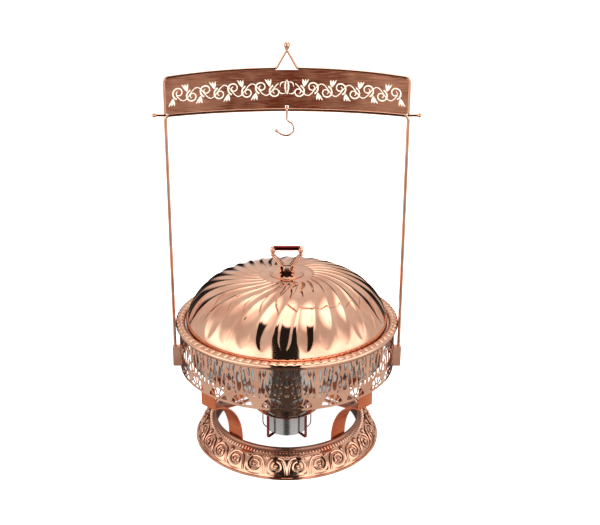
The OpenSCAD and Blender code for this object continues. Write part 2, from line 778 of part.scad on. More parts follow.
base_ring();
leg_front_left();
leg_front_right();
leg_back_left();
leg_back_right();
leg_rivets();
gallery_band();
rim_ring();
socket_left();
socket_right();
socket_screws();
arm_front_left();
arm_front_right();
arm_back_left();
arm_back_right();
burner_ring();
post_front_left();
post_front_right();
post_back_left();
post_back_right();
cradle_wire();
water_pan();
food_pan();
lid_dome();
handle_plate();
handle_bracket();
handle_grip();
handle_knob_left();
handle_knob_right();
handle_screw();
handle_nut();
upright_left();
upright_right();
lower_rail();
sign_frame();
sign_panel();
peak_ball();
stub_left();
stub_right();
hook();
can_cup();
can_cover();
damper_disc();
damper_pin();
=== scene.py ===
import json
import math

import bmesh
import bpy
from mathutils import Matrix, Vector


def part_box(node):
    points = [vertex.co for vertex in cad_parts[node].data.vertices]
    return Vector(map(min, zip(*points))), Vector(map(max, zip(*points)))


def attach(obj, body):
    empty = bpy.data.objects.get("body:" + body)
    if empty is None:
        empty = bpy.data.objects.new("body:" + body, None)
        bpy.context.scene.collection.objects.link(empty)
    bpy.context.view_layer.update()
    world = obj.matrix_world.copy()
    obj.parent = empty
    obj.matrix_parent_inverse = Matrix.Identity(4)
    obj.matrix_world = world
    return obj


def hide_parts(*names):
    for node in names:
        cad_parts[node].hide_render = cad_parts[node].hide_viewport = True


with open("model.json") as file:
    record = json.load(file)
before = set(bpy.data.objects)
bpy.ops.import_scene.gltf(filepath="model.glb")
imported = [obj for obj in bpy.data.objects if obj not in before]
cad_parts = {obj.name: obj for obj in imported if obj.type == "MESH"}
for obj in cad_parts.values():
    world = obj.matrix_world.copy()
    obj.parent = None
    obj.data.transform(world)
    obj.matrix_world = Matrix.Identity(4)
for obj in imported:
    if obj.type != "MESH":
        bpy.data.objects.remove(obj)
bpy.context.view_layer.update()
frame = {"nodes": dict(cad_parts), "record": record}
print("frame loaded:", len(frame["nodes"]), "nodes")

mm = 0.001
fullTurn = 2 * math.pi
frontAngle = -fullTurn / 4  # the object's front, seen from above


def linear(hexColour):
    channels = [int(hexColour[i : i + 2], 16) / 255 for i in (1, 3, 5)]
    return [c / 12.92 if c <= 0.04045 else ((c + 0.055) / 1.055) ** 2.4 for c in channels] + [1.0]


# Adds a node with its settings, its links or socket values, and the stops of its colour ramp
def addNode(tree, kind, settings=None, sockets=None, stops=()):
    node = tree.nodes.new("ShaderNode" + kind)
    for name, value in (settings or {}).items():
        setattr(node, name, value)
    for i, (position, colour) in enumerate(stops):
        element = node.color_ramp.elements[i]
        element.position, element.color = position, linear(colour)
    for name, value in (sockets or {}).items():
        if isinstance(value, bpy.types.NodeSocket):
            tree.links.new(value, node.inputs[name])
        else:
            node.inputs[name].default_value = value
    return node


def newTree(owner):
    owner.use_nodes = True
    owner.node_tree.nodes.clear()
    return owner.node_tree


# Closes a bmesh into a piece: merged, facing outwards, smooth but for its sharp edges
def finishPiece(bm, name, body, material, nodes=(), sharpAngle=32):
    bmesh.ops.remove_doubles(bm, verts=bm.verts, dist=0.004 * mm)
    bmesh.ops.recalc_face_normals(bm, faces=bm.faces)
    for face in bm.faces:
        face.smooth = True
    for edge in bm.edges:
        if len(edge.link_faces) == 2 and edge.calc_face_angle(0) > math.radians(sharpAngle):
            edge.smooth = False
    mesh = bpy.data.meshes.new(name)
    bm.to_mesh(mesh)
    bm.free()
    mesh.materials.append(material)
    piece = bpy.data.objects.new(name, mesh)
    bpy.context.scene.collection.objects.link(piece)
    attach(piece, body)
    if nodes:
        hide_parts(*nodes)
    return piece


# Turns an outline of (radius, height) in mm about the Z axis
def revolve(outline, steps, closed=True):
    bm = bmesh.new()
    verts = [bm.verts.new((r * mm, 0, z * mm)) for r, z in outline]
    edges = [bm.edges.new(pair) for pair in zip(verts, verts[1:])]
    if closed:
        edges.append(bm.edges.new((verts[-1], verts[0])))
    bmesh.ops.spin(bm, geom=verts + edges, cent=(0, 0, 0), axis=(0, 0, 1), dvec=(0, 0, 0),
                   angle=fullTurn, steps=steps, use_merge=True, use_duplicate=False)
    bmesh.ops.remove_doubles(bm, verts=bm.verts, dist=0.001 * mm)
    return bm


# Turns a curve into a bmesh and clears the curve away
def meshOf(curve):
    holder = bpy.data.objects.new(curve.name, curve)
    bpy.context.scene.collection.objects.link(holder)
    mesh = bpy.data.meshes.new_from_object(holder.evaluated_get(bpy.context.evaluated_depsgraph_get()))
    bpy.data.objects.remove(holder)
    bpy.data.curves.remove(curve)
    bm = bmesh.new()
    bm.from_mesh(mesh)
    bpy.data.meshes.remove(mesh)
    return bm


# Lines of (x, y, width) in mm drawn as half-round beads on a flat sheet
def drawBeads(lines, sides=3, depth=1.0):
    curve = bpy.data.curves.new("beads", "CURVE")
    curve.dimensions = "3D"
    curve.bevel_depth = mm / 2
    curve.bevel_resolution = sides
    curve.use_fill_caps = True
    for line in lines:
        spline = curve.splines.new("POLY")
        spline.points.add(len(line) - 1)
        for point, (x, y, width) in zip(spline.points, line):
            point.co = (x * mm, y * mm, 0, 1)
            point.radius = width
    bm = meshOf(curve)
    bmesh.ops.scale(bm, vec=(1, 1, depth), verts=bm.verts)
    return bm


# How far a value has come from start over length, held between 0 and 1
def share(value, start, length):
    return min(max((value - start) / length, 0), 1)


# Adds another bmesh's faces and gives back its points in their new place
def addInto(bm, other):
    mesh = bpy.data.meshes.new("part")
    other.to_mesh(mesh)
    other.free()
    count = len(bm.verts)
    bm.from_mesh(mesh)
    bpy.data.meshes.remove(mesh)
    bm.verts.ensure_lookup_table()
    return bm.verts[count:]


# A spiral line about (x, y) from one radius to another
def curl(x, y, startRadius, endRadius, startAngle, turns, startWidth, endWidth, count):
    line = []
    for i in range(count + 1):
        t = i / count
        radius = startRadius + (endRadius - startRadius) * t ** 0.8
        angle = startAngle + turns * fullTurn * t
        line.append((x + radius * math.cos(angle), y + radius * math.sin(angle),
                     startWidth + (endWidth - startWidth) * t))
    return line


# A curved stroke that swells in the middle and ends in points
def stroke(start, bend, end, width, count=8):
    line = []
    for i in range(count + 1):
        t = i / count
        x, y = ((1 - t) ** 2 * a + 2 * t * (1 - t) * b + t * t * c for a, b, c in zip(start, bend, end))
        line.append((x, y, width * (0.25 + 0.75 * math.sin(math.pi * t))))
    return line


# Colours of the plating, of the painted shade in its hollows, and its least and greatest roughness
finishes = {
    # Polished rose gold: a warm mirror, paler than copper
    "rose": {"bright": "#EEBEA4", "deep": "#DBA58C", "paintedShade": "#5A1F19", "rough": (0.045, 0.11)},
    # Satin copper: orange, with blurred reflections
    "copper": {"bright": "#E08A62", "deep": "#CB6A44", "paintedShade": "#4A170D", "rough": (0.30, 0.42)},
    # Satin rose gold: pale, with soft reflections
    "satin": {"bright": "#F4C2AA", "deep": "#E2A68C", "paintedShade": "#5A1F19", "rough": (0.42, 0.56)},
    # Antiqued copper, chemically darkened: maroon, still glossy
    "darkCopper": {"bright": "#8C3F36", "deep": "#5C1F1C", "paintedShade": "#2A0D0A", "rough": (0.10, 0.20)},
}
plating = {"cloud": 45.0, "waveHeight": 0.05, "markHeight": 0.01, "dulling": 0.3}


# Copper and rose gold electroplate: mirror-like, with a faint cloudiness of tone, a very slight waviness
# of the sheet, hairline buffing marks, and painted shade in its hollows, which are also made rougher
def platedMetal(name, finish, buffSize):
    material = bpy.data.materials.new(name)
    tree = newTree(material)
    place = addNode(tree, "TexCoord").outputs["Object"]
    cloud = addNode(tree, "TexNoise", sockets={"Vector": place, "Scale": 1 / (plating["cloud"] * mm), "Detail": 3.0})
    buff = addNode(tree, "TexNoise", sockets={"Vector": place, "Scale": 1 / (buffSize * mm), "Detail": 4.0})
    tone = addNode(tree, "ValToRGB", sockets={0: cloud.outputs["Fac"]},
                   stops=[(0.35, finish["deep"]), (0.65, finish["bright"])])
    # Painted shade: a vertex attribute marks the hollows, whose colour is painted towards a dark tone and made
    # rougher
    paintedShade = addNode(tree, "Attribute", {"attribute_name": "paintedShade"}).outputs["Fac"]
    colour = addNode(tree, "Mix", {"data_type": "RGBA"},
                     {0: paintedShade, 6: tone.outputs[0], 7: linear(finish["paintedShade"])})  # 6 and 7 are its colours
    low, high = finish["rough"]
    rough = addNode(tree, "MapRange", sockets={
        "Value": buff.outputs["Fac"], "From Min": 0.35, "From Max": 0.7, "To Min": low, "To Max": high})
    dulled = addNode(tree, "Math", {"operation": "MULTIPLY_ADD"},
                     {0: paintedShade, 1: plating["dulling"], 2: rough.outputs[0]})
    wave = addNode(tree, "Bump", sockets={
        "Height": cloud.outputs["Fac"], "Strength": 0.5, "Distance": plating["waveHeight"] * mm})
    marks = addNode(tree, "Bump", sockets={
        "Height": buff.outputs["Fac"], "Strength": 0.12, "Distance": plating["markHeight"] * mm,
        "Normal": wave.outputs[0]})
    shader = addNode(tree, "BsdfPrincipled", sockets={
        "Base Color": colour.outputs[2], "Metallic": 1.0, "Roughness": dulled.outputs[0],
        "Normal": marks.outputs[0]})
    addNode(tree, "OutputMaterial", sockets={"Surface": shader.outputs[0]})
    return material


brushing = {"cloud": 60.0, "lineHeight": 0.02, "paintedReflectionFrom": 20.0, "paintedReflectionTo": 185.0}


# Sheet metal brushed with an abrasive belt: fine parallel lines along one axis that stretch the highlight.
# Real lines are about 0.1 mm wide; they are drawn coarser, so that they show
def brushedMetal(name, tones, rough, lineWidth, stretch, alongZ=False, paintedReflection=0.0):
    material = bpy.data.materials.new(name)
    tree = newTree(material)
    place = addNode(tree, "TexCoord").outputs["Object"]
    across = 1 / (lineWidth * mm)
    scale = (across, across, across / stretch) if alongZ else (across / stretch, across, across)
    grain = addNode(tree, "Mapping", sockets={"Vector": place, "Scale": scale})
    lines = addNode(tree, "TexNoise", sockets={"Vector": grain.outputs[0], "Scale": 1.0, "Detail": 3.0})
    cloud = addNode(tree, "TexNoise", sockets={
        "Vector": place, "Scale": 1 / (brushing["cloud"] * mm), "Detail": 2.0})
    # A painted reflection: the sheet's tone is darker in its middle and lighter towards its ends
    along = addNode(tree, "SeparateXYZ", sockets={0: place}).outputs[0]
    fromMiddle = addNode(tree, "Math", {"operation": "ABSOLUTE"}, {0: along})
    paintedReflectionTone = addNode(tree, "MapRange", sockets={
        "Value": fromMiddle.outputs[0], "From Min": brushing["paintedReflectionFrom"] * mm,
        "From Max": brushing["paintedReflectionTo"] * mm, "To Min": -paintedReflection, "To Max": paintedReflection})
    clouded = addNode(tree, "Math", {"operation": "MULTIPLY_ADD"},
                      {0: cloud.outputs["Fac"], 1: 0.4, 2: paintedReflectionTone.outputs[0]})
    mixed = addNode(tree, "Math", {"operation": "MULTIPLY_ADD"},
                    {0: lines.outputs["Fac"], 1: 0.6, 2: clouded.outputs[0]})
    tone = addNode(tree, "ValToRGB", sockets={0: mixed.outputs[0]}, stops=[(0.36, tones[0]), (0.64, tones[1])])
    roughness = addNode(tree, "MapRange", sockets={
        "Value": lines.outputs["Fac"], "From Min": 0.3, "From Max": 0.7, "To Min": rough[0], "To Max": rough[1]})
    relief = addNode(tree, "Bump", sockets={
        "Height": lines.outputs["Fac"], "Strength": 0.3, "Distance": brushing["lineHeight"] * mm})
    shader = addNode(tree, "BsdfPrincipled", sockets={
        "Base Color": tone.outputs[0], "Metallic": 1.0, "Roughness": roughness.outputs[0],
        "Normal": relief.outputs[0]})
    addNode(tree, "OutputMaterial", sockets={"Surface": shader.outputs[0]})
    return material


# Cream enamel paint wiped into the engraving: low gloss, a little uneven in tone
def enamelInlay():
    material = bpy.data.materials.new("creamEnamelInlay")
    tree = newTree(material)
    place = addNode(tree, "TexCoord").outputs["Object"]
    cloud = addNode(tree, "TexNoise", sockets={"Vector": place, "Scale": 1 / (4 * mm), "Detail": 3.0})
    tone = addNode(tree, "ValToRGB", sockets={0: cloud.outputs["Fac"]}, stops=[(0.3, "#E9D8C4"), (0.7, "#FFF6EA")])
    rough = addNode(tree, "MapRange", sockets={"Value": cloud.outputs["Fac"], "To Min": 0.35, "To Max": 0.55})
    relief = addNode(tree, "Bump", sockets={"Height": cloud.outputs["Fac"], "Strength": 0.2, "Distance": 0.03 * mm})
    shader = addNode(tree, "BsdfPrincipled", sockets={
        "Base Color": tone.outputs[0], "Roughness": rough.outputs[0], "Normal": relief.outputs[0]})
    addNode(tree, "OutputMaterial", sockets={"Surface": shader.outputs[0]})
    return material


# A plated metal's last number is the size of its buffing marks in mm. A brushed one has two tones, its least
# and greatest roughness, the width of its lines in mm, and how many times longer than wide they are
rosePlate = platedMetal("roseGoldPlatePolished", finishes["rose"], buffSize=1.5)
copperPlate = platedMetal("copperPlateSatinPolished", finishes["copper"], buffSize=0.8)
satinRose = platedMetal("roseGoldPlateSatin", finishes["satin"], buffSize=1.0)
darkCopper = platedMetal("copperPlateAntiqued", finishes["darkCopper"], buffSize=0.8)
# The brushed copper carries a painted reflection, darker in its middle and lighter at its ends
brushedCopper = brushedMetal("copperSheetBrushed", ("#98462C", "#F4AE8E"), (0.32, 0.44), 0.5, 40, paintedReflection=0.10)
brushedSteel = brushedMetal("stainlessSteelBrushed", ("#A9A9AB", "#D9D9DA"), (0.16, 0.30), 0.4, 60)
panSteel = brushedMetal("stainlessSteelDeepDrawn", ("#BDBDBE", "#E4E4E4"), (0.10, 0.20), 0.6, 30, alongZ=True)
wireSteel = brushedMetal("steelWireDrawn", ("#6F7672", "#9AA09B"), (0.20, 0.32), 0.3, 40)
creamEnamel = enamelInlay()

slotMaterials = {"rose_gold_plate": rosePlate, "copper_plate": copperPlate,
                 "brushed_copper": brushedCopper, "stainless_steel": brushedSteel}
nodeMaterials = {"socket_left": satinRose, "socket_right": satinRose, "cradle_wire": wireSteel,
                 "water_pan": panSteel, "food_pan": panSteel}
for corner in ("front_left", "front_right", "back_left", "back_right"):
    nodeMaterials["post_" + corner] = darkCopper
slotOf = {part["node"]: part["material_slot"] for part in frame["record"]["subparts"]}
for name, node in frame["nodes"].items():
    material = nodeMaterials.get(name) or slotMaterials.get(slotOf.get(name), rosePlate)
    node.data.materials.clear()
    node.data.materials.append(material)
print("materials made:", len(bpy.data.materials))


# The dome's height follows (1 - (radius / outer) ^ shoulder) ^ side; sizes are in mm
domeShape = {"rise": 85.0, "shoulder": 3.9, "side": 0.67, "crown": 31.0, "skirt": 5.0, "wall": 1.2, "hole": 2.2,
             "flutes": 30, "columns": 14, "rings": 64, "fluteIn": 46.0, "fluteOut": 178.0, "tipLength": 0.55,
             "narrow": 0.38, "depthIn": 1.3, "depthOut": 2.7, "roundness": 0.8,
             "twist": math.radians(32.4), "turnTo": math.radians(-1.6)}


# Depth of a flute at a radius; across runs from -1 to 1 over its pitch
def fluteDepth(shape, radius, across):
    span = (radius - shape["fluteIn"]) / (shape["fluteOut"] - shape["fluteIn"])
    if span <= 0 or span >= 1:
        return 0.0
    half = math.pi / shape["flutes"]
    fromEnds = min((radius - shape["fluteIn"]) / (half * shape["fluteIn"]),
                   (shape["fluteOut"] - radius) / (half * shape["fluteOut"] * shape["tipLength"]))
    width = math.sqrt(1 - (1 - min(fromEnds, 1)) ** 2)  # the ends are round
    width *= 1 - shape["narrow"] * span ** 3
    if abs(across) >= width:
        return 0.0
    depth = shape["depthIn"] + (shape["depthOut"] - shape["depthIn"]) * span
    return depth * width * (1 - (across / width) ** 2) ** shape["roundness"]


def makeDome(shape):
    low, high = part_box("lid_dome")
    outer, foot = high.x / mm, low.z / mm
    shoulder = foot + shape["skirt"]

    def heightAt(radius):
        return shoulder + shape["rise"] * (1 - (radius / outer) ** shape["shoulder"]) ** shape["side"]

    outline = [(shape["hole"], heightAt(shape["crown"]))]
    for i in range(shape["rings"] + 1):
        radius = shape["crown"] + (outer - shape["crown"]) * math.sin(fullTurn / 4 * i / shape["rings"])
        outline.append((radius, heightAt(min(radius, outer))))
    outline += [(outer, shoulder - shape["skirt"] * 0.5), (outer, foot)]
    bm = revolve(outline, shape["flutes"] * shape["columns"], closed=False)
    for vert in bm.verts:
        radius = math.hypot(vert.co.x, vert.co.y) / mm
        angle = math.atan2(vert.co.y, vert.co.x)
        across = 2 * (angle * shape["flutes"] / fullTurn % 1) - 1
        depth = fluteDepth(shape, radius, across)
        if depth:
            fall = (heightAt(radius + 0.1) - heightAt(radius - 0.1)) / 0.2
            tilt = math.hypot(1, fall)  # the flute is pressed in square to the surface
            vert.co.z -= depth / tilt * mm
            radius += depth * fall / tilt
        span = share(radius, shape["fluteIn"], shape["fluteOut"] - shape["fluteIn"])
        turned = angle + frontAngle + shape["turnTo"] - math.pi / shape["flutes"] + shape["twist"] * (1 - span) ** 2
        vert.co.x, vert.co.y = radius * mm * math.cos(turned), radius * mm * math.sin(turned)
    dome = finishPiece(bm, "lidDome", "lid", rosePlate, ["lid_dome"], sharpAngle=22)
    wall = dome.modifiers.new("wall", "SOLIDIFY")
    wall.thickness = shape["wall"] * mm
    wall.offset = -1


makeDome(domeShape)
print("dome done")

# Sizes in mm: the grip's radius, half widths of the bracket at its foot, span and tips, heights above its foot,
# and its window as (half width, bottom, top)
handleShape = {"grip": 4.65, "span": 24.5, "knob": 10.0, "knobHeight": 15.4, "rib": 1.9, "ribShift": 1.7,
               "ribFoot": 9.6, "strap": 8.0, "edge": 0.7, "foot": 13.75, "window": (5.75, 6.0, 13.5),
               "bridge": 16.0, "tip": 4.25, "hole": 2.2}


def makeHandle(shape):
    low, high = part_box("handle_plate")
    base, top, edge = low.z / mm, high.z / mm, high.x / mm
    outline = [(shape["hole"], base), (edge - 0.4, base), (edge, base + 0.4), (edge, base + 0.9),
               (edge - 0.5, top - 0.1), (edge - 1.4, top), (edge - 3, top), (edge - 3.6, top - 0.45),
               (edge - 4.4, top - 0.45), (edge - 5, top), (shape["hole"], top)]
    finishPiece(revolve(outline, 144), "handlePlate", "lid", rosePlate, ["handle_plate"])

    low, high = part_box("handle_bracket")
    foot, peak, span, wide = low.z / mm, high.z / mm, shape["span"], shape["foot"]
    windowX, windowLow, windowTop = shape["window"]
    bridge = foot + shape["bridge"]
    outline = [(0, foot), (wide, foot), (wide, foot + 2), (wide - 1.1, foot + 4), (wide - 0.5, bridge - 2),
               (span + shape["tip"], peak), (span - shape["tip"], peak), (windowX - 0.5, bridge), (0, bridge),
               (0, foot + windowTop), (windowX, foot + windowTop), (windowX, foot + windowLow),
               (0, foot + windowLow)]
    bm = bmesh.new()
    verts = [bm.verts.new((x * mm, -shape["strap"] / 2 * mm, z * mm)) for x, z in outline]
    face = bm.faces.new(verts)
    grown = bmesh.ops.extrude_face_region(bm, geom=[face])
    bmesh.ops.translate(bm, vec=(0, shape["strap"] * mm, 0),
                        verts=[v for v in grown["geom"] if isinstance(v, bmesh.types.BMVert)])
    middle = [f for f in bm.faces if all(abs(v.co.x) < 1e-7 for v in f.verts)]  # open, so that the halves join
    bmesh.ops.delete(bm, geom=middle, context="FACES_ONLY")
    bmesh.ops.mirror(bm, geom=bm.verts[:] + bm.edges[:] + bm.faces[:], axis="X", merge_dist=0.01 * mm)
    bmesh.ops.recalc_face_normals(bm, faces=bm.faces)
    sharp = [e for e in bm.edges if len(e.link_faces) == 2 and e.calc_face_angle(0) > 0.3]
    bmesh.ops.bevel(bm, geom=sharp, offset=shape["edge"] * mm, affect="EDGES", segments=2, profile=0.5, material=-1,
                    clamp_overlap=True)
    ribStart, ribEnd = Vector((shape["ribFoot"], 0, bridge - 3)), Vector((span, 0, peak - 0.8))
    lean = math.atan2(ribEnd.x - ribStart.x, ribEnd.z - ribStart.z)
    length = (ribEnd - ribStart).length
    for side in (-1, 1):
        for face in (-1, 1):
            for row in (-1, 1):
                shift = Vector((row * shape["ribShift"], face * shape["strap"] / 2, 0))
                place = (Matrix.Translation(((ribStart + ribEnd) / 2 + shift) * mm)
                         @ Matrix.Rotation(lean, 4, "Y") @ Matrix.Diagonal((1, 0.7, 1, 1)))
                if side < 0:
                    place = Matrix.Diagonal((-1, 1, 1, 1)) @ place
                bmesh.ops.create_cone(bm, cap_ends=True, segments=10, radius1=shape["rib"] / 2 * mm,
                                      radius2=shape["rib"] / 2 * mm, depth=length * mm, matrix=place)
    finishPiece(bm, "handleBracket", "lid", rosePlate, ["handle_bracket"])

    low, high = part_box("handle_grip")
    axis = (low.z + high.z) / 2
    reach, thick = high.x / mm, shape["grip"]
    # A rod that narrows very slightly from its middle and is stepped at its ends
    bm = revolve([(0.001, -reach), (thick - 0.9, -reach), (thick - 0.5, -reach + 1)]
                 + [(thick - 0.3 + 0.3 * math.cos(math.pi / 2 * i / 8), i / 8 * (reach - 1)) for i in range(-7, 8)]
                 + [(thick - 0.5, reach - 1), (thick - 0.9, reach), (0.001, reach)], 48, closed=False)
    bmesh.ops.rotate(bm, cent=(0, 0, 0), matrix=Matrix.Rotation(fullTurn / 4, 3, "Y"), verts=bm.verts)
    bmesh.ops.translate(bm, vec=(0, 0, axis), verts=bm.verts)
    finishPiece(bm, "handleGrip", "lid", darkCopper, ["handle_grip"])

    for name, node in (("handleKnobLeft", "handle_knob_left"), ("handleKnobRight", "handle_knob_right")):
        low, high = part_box(node)
        half = shape["knobHeight"] / 2
        # A collar, then a ball that is fuller above its middle
        outline = [(0.001, -half), (2.6, -half), (2.9, -half + 0.5), (2.5, -half + 1.0)]
        for i in range(3, 19):
            angle = math.pi * i / 18
            bulge = shape["knob"] / 2 * math.sin(angle) ** 0.8 * (1 - 0.10 * math.cos(angle)) / 1.02
            outline.append((max(bulge, 0.001), 0.4 - (half - 0.4) * math.cos(angle)))
        bm = revolve(outline, 40, closed=False)
        bmesh.ops.translate(bm, vec=(low + high) / 2, verts=bm.verts)
        finishPiece(bm, name, "lid", rosePlate, [node])


makeHandle(handleShape)
print("handle done")

# Pairs are where the gadroons start and over what length they come in, in mm
rimShape = {"beads": 84, "columns": 8, "roll": 5.95, "rollCentre": (194.0, 232.0), "swell": 2.0, "slant": 0.15,
            "slantFrom": 190.0, "halfWidth": 7.0, "deepestFrom": 190.5, "roundness": 3.5,
            "above": (233.2, 2.5), "inside": (-198.6, 2.2), "outside": (184.5, 2.5)}


def makeRim(shape):
    centreR, centreZ = shape["rollCentre"]
    # Under the ledge, round the rolled edge, over the crown and down the inner wall to the ledge
    outline = [(177.5, 224.5), (185.0, 224.5), (185.0, 229.4), (189.4, 229.6)]
    for step in range(-135, 100, 9):
        angle = math.radians(step)
        outline.append((centreR + shape["roll"] * math.cos(angle), centreZ + shape["roll"] * math.sin(angle)))
    outline += [(192.0, 238.4), (190.0, 238.2), (188.0, 237.6), (186.0, 236.6), (184.6, 235.2), (183.6, 233.6),
                (183.5, 231.5), (183.5, 226.0), (177.5, 226.0)]
    bm = revolve(outline, shape["beads"] * shape["columns"])
    paintedShade = bm.verts.layers.float.new("paintedShade")
    for vert in bm.verts:
        radius, height = math.hypot(vert.co.x, vert.co.y) / mm, vert.co.z / mm
        angle = math.atan2(vert.co.y, vert.co.x)
        fade = share(height, *shape["above"]) * share(-radius, *shape["inside"]) * share(radius, *shape["outside"])
        if not fade:
            continue
        lean = shape["slant"] * (radius - shape["slantFrom"]) / shape["halfWidth"]
        across = 2 * ((angle * shape["beads"] / fullTurn + lean) % 1) - 1
        drop = 1 - max(1 - abs(across) ** shape["roundness"], 0) ** 0.5
        deeper = 0.8 + 0.9 * abs(radius - shape["deepestFrom"]) / shape["halfWidth"]
        vert.co.z -= shape["swell"] * drop * fade * deeper * mm
        # Painted shade, deepest at the bottom of each gadroon's hollow
        vert[paintedShade] = min(1.0, max(0.0, drop - 0.35) * 1.5 * fade)
    finishPiece(bm, "rimRing", "stand", rosePlate, ["rim_ring"], sharpAngle=40)


makeRim(rimShape)
print("rim done")

bandShape = {"panels": 12, "wall": 1.5, "cuts": 12, "fanAt": (23.6, 3.4), "fanRadius": 19.0, "fanSlots": 5,
             "fanBar": 0.08, "fanHub": (0.6, 5.4), "slotFrom": 7.5}


# A window with two pointed ends that bends like an S; it is widest at fullAt of its height
def flame(x, low, high, width, lean=0.0, fullAt=0.45):
    count = 12
    left, right = [], []
    power = math.log(0.5) / math.log(fullAt)
    for i in range(count + 1):
        t = i / count
        half = width / 2 * max(math.sin(math.pi * t ** power), 0) ** 0.6
        middle = x + lean * math.sin(fullTurn * t)
        y = low + (high - low) * t
        right.append((middle + half, y))
        left.append((middle - half, y))
    return right + left[-2:0:-1]


# One slot of a fan: a piece of a ring about (x, y)
def fanSlot(x, y, inner, outer, start, end):
    steps = 4
    arc = [start + (end - start) * i / steps for i in range(steps + 1)]
    return ([(x + outer * math.cos(a), y + outer * math.sin(a)) for a in arc]
            + [(x + inner * math.cos(a), y + inner * math.sin(a)) for a in reversed(arc)])


# The openings of one panel in mm, measured from its middle and its bottom edge
def panelWindows(shape):
    windows = [flame(0, 60, 74.5, 8.5, fullAt=0.7), flame(0, 42.5, 58, 10), flame(0, 25, 40.5, 8.5, fullAt=0.35)]
    half = [flame(9.2, 29, 56, 6.2, 1.0), flame(11.4, 57.5, 75.5, 7.0, 1.0), flame(18.6, 27, 66, 8.6, 1.4),
            flame(24.2, 63, 75.5, 5.6, 0.6), flame(29.2, 27, 71, 9.2, 1.4), flame(37.4, 60, 75.5, 6.2, 0.8),
            flame(38.8, 27, 58, 7.4, 1.0), flame(44.9, 48, 75.5, 4.4, 0.4), flame(45.6, 20, 45, 4.4, 0.3),
            flame(34.6, 22.5, 31, 4.4), flame(13.2, 23, 30, 4.4)]
    x, y = shape["fanAt"]
    step = math.pi / shape["fanSlots"]
    for i in range(shape["fanSlots"]):
        start = step * i + shape["fanBar"]
        half.append(fanSlot(x, y, shape["slotFrom"], shape["fanRadius"], start, start + step - 2 * shape["fanBar"]))
    half.append(fanSlot(x, y, *shape["fanHub"], 0.1, math.pi - 0.1))
    for window in half:
        windows += [window, [(-x, y) for x, y in reversed(window)]]
    return windows


def makeBand(shape):
    low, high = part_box("gallery_band")
    outer, bottom, tall = high.x / mm, low.z / mm, (high.z - low.z) / mm
    pitch = fullTurn * outer / shape["panels"]
    curve = bpy.data.curves.new("panel", "CURVE")
    curve.dimensions, curve.fill_mode, curve.extrude = "2D", "BOTH", shape["wall"] / 2 * mm
    edge = [(-pitch / 2, 0), (pitch / 2, 0), (pitch / 2, tall), (-pitch / 2, tall)]
    for points in [edge] + panelWindows(shape):
        spline = curve.splines.new("POLY")
        spline.points.add(len(points) - 1)
        for point, (x, y) in zip(spline.points, points):
            point.co = (x * mm, y * mm, 0, 1)
        spline.use_cyclic_u = True
    bm = meshOf(curve)
    bmesh.ops.remove_doubles(bm, verts=bm.verts, dist=0.004 * mm)
    ends = [f for f in bm.faces if all(abs(abs(v.co.x) - pitch / 2 * mm) < 1e-6 for v in f.verts)]
    bmesh.ops.delete(bm, geom=ends, context="FACES")
    for i in range(1, shape["cuts"]):
        bmesh.ops.bisect_plane(bm, geom=bm.verts[:] + bm.edges[:] + bm.faces[:], dist=1e-7,
                               plane_co=((i / shape["cuts"] - 0.5) * pitch * mm, 0, 0), plane_no=(1, 0, 0))
    for vert in bm.verts:
        angle = vert.co.x / (outer * mm) + frontAngle
        radius = (outer - shape["wall"] / 2) * mm + vert.co.z
        vert.co = (radius * math.cos(angle), radius * math.sin(angle), bottom * mm + vert.co.y)
    bmesh.ops.spin(bm, geom=bm.verts[:] + bm.edges[:] + bm.faces[:], cent=(0, 0, 0), axis=(0, 0, 1),
                   angle=fullTurn * (shape["panels"] - 1) / shape["panels"], steps=shape["panels"] - 1,
                   use_merge=False, use_duplicate=True)
    finishPiece(bm, "galleryBand", "stand", rosePlate, ["gallery_band"], sharpAngle=25)


makeBand(bandShape)
print("band done")

# The slope runs from slopeFoot inwards and up by slopeRun, as (radius, height) in mm; the scrolls' pitch
# is that of 26 of them at a radius of 157 mm
# Its numbers of painted shade are for the rolled top and inner wall, the slope's field, and the foot of each bead
baseShape = {"steps": 312, "scrolls": 26, "slopeFoot": (166.0, 3.5), "slopeRun": (28.5, 35.5), "bulge": 4.5,
             "slopeLength": 46.0, "bars": 150, "barsAt": 42.4, "barWidth": 1.12, "sink": 0.35, "eye": 3.2,
             "eyeAt": 19.0, "scrollPitch": fullTurn * 157 / 26, "rollInside": 141.0, "rollPaintedShade": 0.7,
             "fieldInside": 167.0, "fieldPaintedShade": 0.15, "edgePaintedShade": 0.9}


def baseSlope(t, shape):
    (footR, footZ), (runR, runZ) = shape["slopeFoot"], shape["slopeRun"]
    bulge = shape["bulge"] * math.sin(math.pi * t)
    return footR - t * runR + bulge, footZ + t * runZ + 0.6 * bulge


# Lays (along, up, height) in mm of a flat drawing on the base ring's slope
def onSlope(along, up, height, shape):
    t = up / shape["slopeLength"]
    r, z = baseSlope(t, shape)
    r2, z2 = baseSlope(t + 0.01, shape)
    run = math.hypot(r2 - r, z2 - z)
    outR, outZ = (z2 - z) / run, (r - r2) / run
    angle = frontAngle + along / shape["scrollPitch"] * fullTurn / shape["scrolls"]
    radius = r + outR * height
    return radius * math.cos(angle) * mm, radius * math.sin(angle) * mm, (z + outZ * height) * mm


